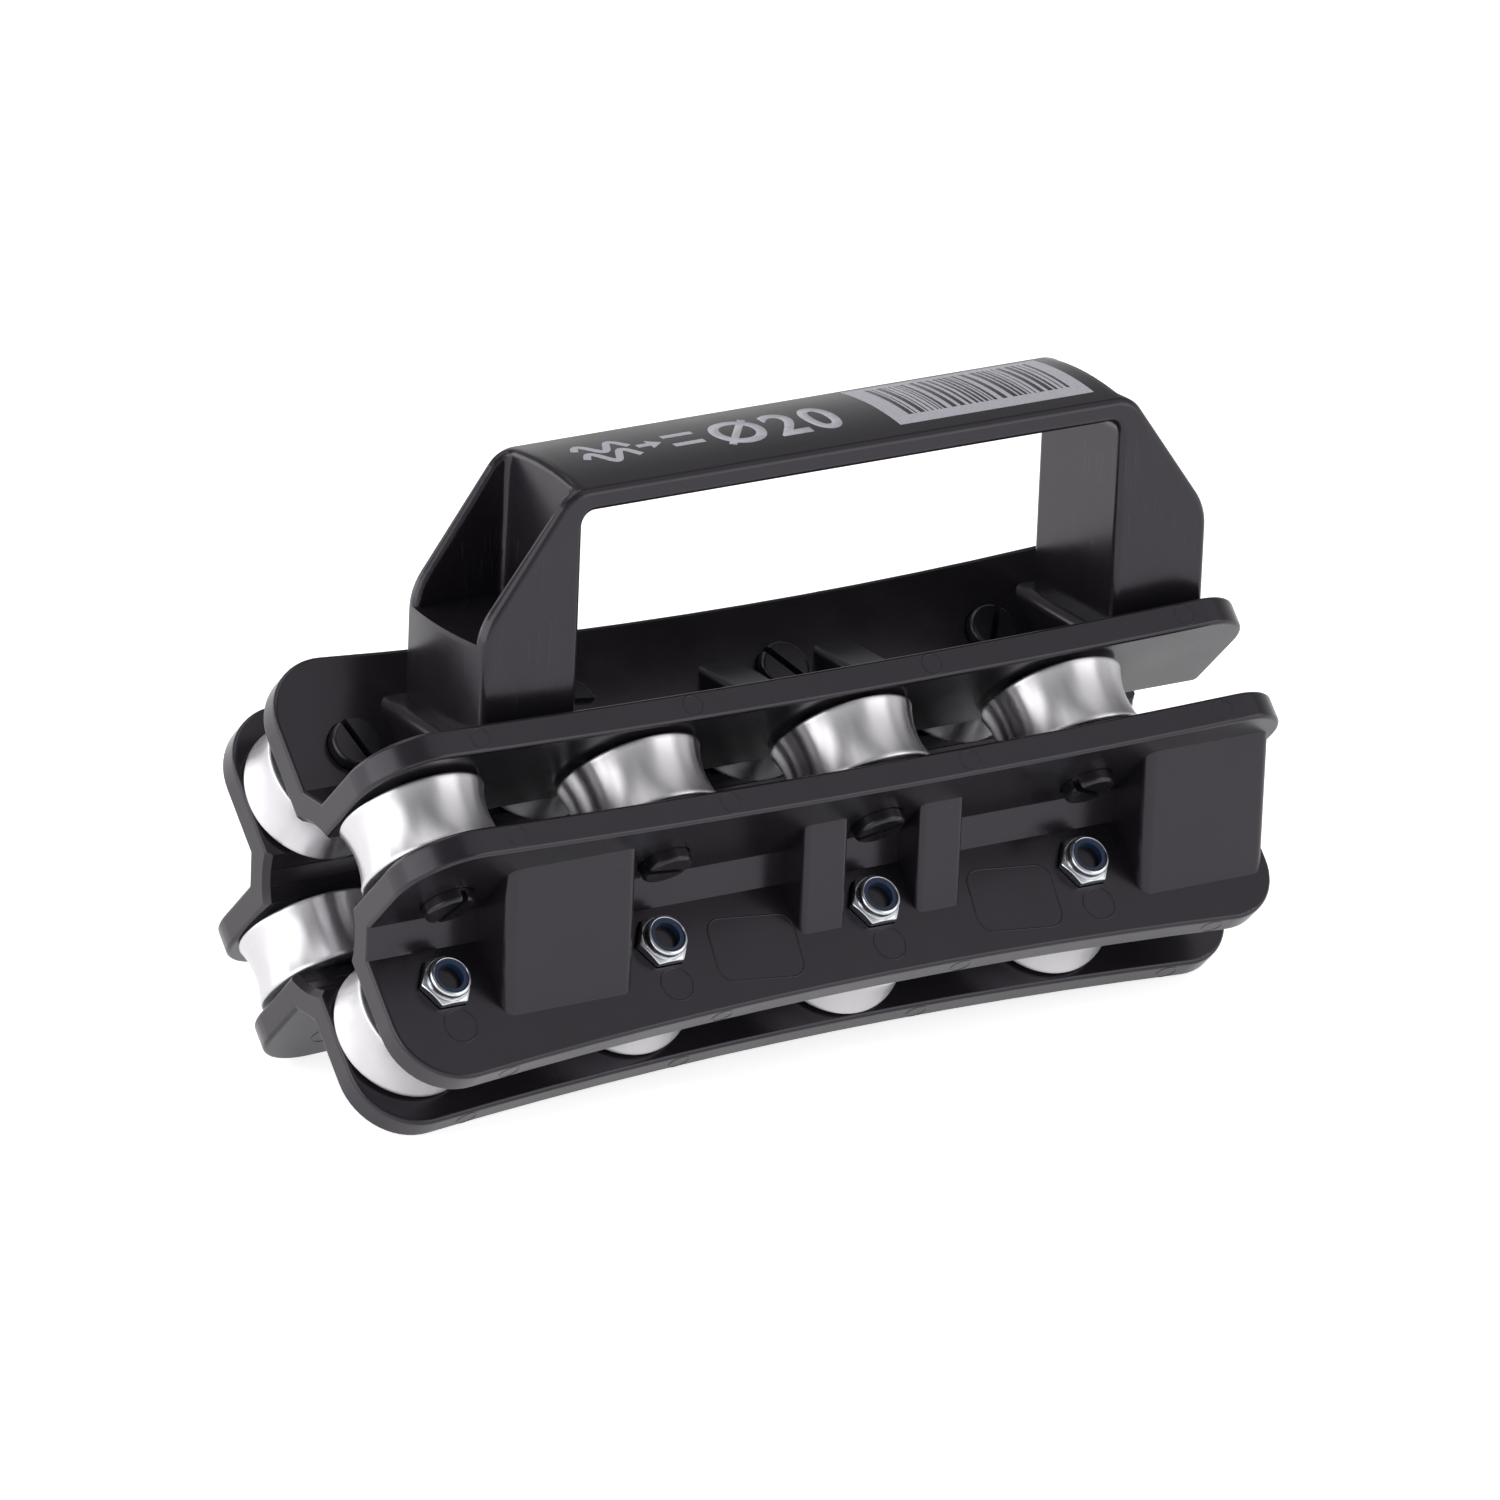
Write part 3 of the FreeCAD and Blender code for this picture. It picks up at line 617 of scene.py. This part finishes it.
def ink_on_crown(name, mesh):
    """Lays a flat mesh in X and Y onto the crown, cut into strips along X so that it can bend.

    The height is the crown's axis plus the root of its radius squared less Y squared.
    """
    work = bmesh.new()
    work.from_mesh(mesh)
    for y in np.arange(-11.5, 12) * BEND_STEP * MM:
        everything = list(work.verts) + list(work.edges) + list(work.faces)
        bmesh.ops.bisect_plane(work, geom=everything, plane_co=(0, y, 0), plane_no=(0, 1, 0))
    work.to_mesh(mesh)
    work.free()
    flat = np.empty(len(mesh.vertices) * 3, np.float32)
    mesh.vertices.foreach_get("co", flat)
    flat = flat.reshape(-1, 3)
    reach = CROWN_RADIUS * MM
    flat[:, 2] = CROWN_CENTRE * MM + np.sqrt(reach ** 2 - flat[:, 1] ** 2) + FILM_MIDDLE * MM
    mesh.vertices.foreach_set("co", flat.ravel())
    mesh.update()
    film = add_piece(name, mesh, BODY, ink).modifiers.new("film", "SOLIDIFY")
    film.thickness = FILM * MM
    film.offset = 0.0


def ribbon(x_ends, y, half_start, half_end):
    """The two edges of a band along a line from one X to another, at one Y or a Y for each point.

    The band's half width is measured square to the line, and runs evenly from its first value
    to its last.
    """
    x = np.linspace(*x_ends, RIBBON_POINTS)
    middle = np.stack((x, y + 0 * x), -1)
    along = np.gradient(middle, axis=0)
    across = np.stack((-along[:, 1], along[:, 0]), -1) / np.linalg.norm(along, axis=1)[:, None]
    half = np.linspace(half_start, half_end, RIBBON_POINTS)[:, None]
    return np.concatenate((middle - across * half, middle + across * half))


# the field, with gaps where the bars are
random = np.random.default_rng(20)
widths = random.choice((1, 1, 2, 2, 3), BAR_COUNT)
unit = (BARS_X[1] - BARS_X[0]) / widths.sum()
stops = BARS_X[0] + np.concatenate(((0,), np.cumsum(widths * unit)))
x_lines = np.concatenate((FIELD_X[:1], stops, FIELD_X[1:]))
y_lines = np.array((FIELD_Y[0], *BARS_Y, FIELD_Y[1]))
across, up_field = np.meshgrid(np.arange(len(x_lines) - 1), np.arange(3))
filled = (up_field != 1) | (across % 2 == 0)
across, up_field = across[filled], up_field[filled]
count = len(x_lines)
quads = np.stack((
    up_field * count + across, up_field * count + across + 1,
    (up_field + 1) * count + across + 1, (up_field + 1) * count + across,
), -1)
grid_x, grid_y = np.meshgrid(x_lines, y_lines)
corners = np.stack((grid_x, grid_y, 0 * grid_x), -1).reshape(-1, 3) * MM
mesh = bpy.data.meshes.new("bar_field")
mesh.from_pydata(corners.tolist(), [], quads.tolist())
ink_on_crown("bar_field", mesh)

# the size mark
text = bpy.data.curves.new("size_mark", "FONT")
text.body = "Ø20"
text.size = LETTER_SIZE * MM
text.offset = LETTER_WEIGHT * MM
text.resolution_u = 6
text.space_character = LETTER_SPACING
lettering = bpy.data.objects.new("size_lettering", text)
scene.collection.objects.link(lettering)
drawn = lettering.evaluated_get(bpy.context.evaluated_depsgraph_get())
mesh = bpy.data.meshes.new_from_object(drawn)
bpy.data.objects.remove(lettering)
spots = np.empty(len(mesh.vertices) * 3, np.float32)
mesh.vertices.foreach_get("co", spots)
spots = spots.reshape(-1, 3)
for axis, (start, end) in enumerate((MARK_X, MARK_Y)):      # fitted to its place on the bar
    low, high = spots[:, axis].min(), spots[:, axis].max()
    spots[:, axis] = (start + (spots[:, axis] - low) * (end - start) / (high - low)) * MM
mesh.vertices.foreach_set("co", spots.ravel())
mesh.materials.clear()
ink_on_crown("size_mark", mesh)

# the sign: a wavy tube, an arrow and a straight tube
strips = []
wave = WAVE_HEIGHT * np.sin(np.linspace(0, 2 * np.pi * WAVE_TURNS, RIBBON_POINTS))
for side in TUBE_SIDES:
    strips.append(ribbon(WAVY_X, side + wave, LINE_HALF, LINE_HALF))
    strips.append(ribbon(STRAIGHT_X, side, LINE_HALF, LINE_HALF))
strips.append(ribbon(ARROW_X[:2], 0, LINE_HALF, LINE_HALF))
strips.append(ribbon(ARROW_X[1:], 0, ARROW_HALF, ARROW_TIP))
points = np.concatenate(strips)
corners = np.column_stack((points, np.zeros(len(points)))) * MM
first = np.arange(RIBBON_POINTS - 1)
quad = np.stack((first, first + 1, first + RIBBON_POINTS + 1, first + RIBBON_POINTS), -1)
quads = (np.arange(len(strips))[:, None, None] * 2 * RIBBON_POINTS + quad).reshape(-1, 4)
mesh = bpy.data.meshes.new("tube_sign")
mesh.from_pydata(corners.tolist(), [], quads.tolist())
ink_on_crown("tube_sign", mesh)

# ---- Floor and light ----
# A plain white floor and large soft lights, as in a product studio. The floor glows so that it
# stays white, and the walls around it darken upwards.

FLOOR_HALF = 8.0
FLOOR_GLOW = (0.52, 0.8)                # towards the tool, and towards the camera
WALLS_GLOW = (0.85, 0.24)               # low down, and from WALLS_RISE upwards
WALLS_RISE = 0.6

mesh = bpy.data.meshes.new("floor")
corners = np.array(((-1, -1), (1, -1), (1, 1), (-1, 1))) * FLOOR_HALF
mesh.from_pydata([(x, y, cad_low.z) for x, y in corners], [], [(0, 1, 2, 3)])
floor = bpy.data.objects.new("floor", mesh)
scene.collection.objects.link(floor)
white, tree, surface = new_material("white_floor")
surface.inputs["Base Color"].default_value = (0.9, 0.9, 0.9, 1.0)
surface.inputs["Roughness"].default_value = 0.9
surface.inputs["Specular IOR Level"].default_value = 0.1
surface.inputs["Emission Color"].default_value = (1.0, 1.0, 1.0, 1.0)
seen = tree.nodes.new("ShaderNodeLightPath").outputs["Is Camera Ray"]
glow = remap(tree, seen, 0.0, 1.0, *FLOOR_GLOW)
tree.links.new(glow, surface.inputs["Emission Strength"])
mesh.materials.append(white)
floor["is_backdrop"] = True


def softbox(name, place, aim, width, depth, power):
    """A rectangular area light at a place in metres, facing a point."""
    light = bpy.data.lights.new(name, "AREA")
    light.shape = "RECTANGLE"
    light.size, light.size_y = width, depth
    light.energy = power
    lamp = bpy.data.objects.new(name, light)
    lamp.rotation_mode = "QUATERNION"
    lamp.location = place
    lamp.rotation_quaternion = (Vector(aim) - Vector(place)).to_track_quat("-Z", "Y")
    scene.collection.objects.link(lamp)


softbox("left_light", (-1.6, -0.1, 0.6), (0, 0, 0.02), 1.8, 1.4, 14.0)
softbox("right_light", (1.2, -1.5, 0.5), (0, 0, 0.02), 1.3, 1.1, 6.0)
softbox("top_light", (-0.3, 0.5, 1.6), (0, 0, 0), 1.4, 1.1, 6.0)
softbox("front_top_light", (0.75, -0.55, 1.2), (0, 0, 0), 1.3, 1.1, 2.2)
softbox("back_light", (-1.2, 1.4, 0.35), (0, 0, 0.03), 1.5, 0.8, 6.0)

world = bpy.data.worlds.new("studio")
scene.world = world
world.use_nodes = True
tree = world.node_tree
backdrop = tree.nodes["Background"]
backdrop.inputs["Color"].default_value = (1.0, 1.0, 1.0, 1.0)
direction = tree.nodes.new("ShaderNodeTexCoord").outputs["Generated"]
towards = node(tree, "ShaderNodeSeparateXYZ", (direction,))
walls = remap(tree, towards.outputs["Z"], 0.0, WALLS_RISE, *WALLS_GLOW)
seen = tree.nodes.new("ShaderNodeLightPath").outputs["Is Camera Ray"]
tree.links.new(maths(tree, "MAXIMUM", seen, walls), backdrop.inputs["Strength"])
scene.view_settings.view_transform = "Standard"

low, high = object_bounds()
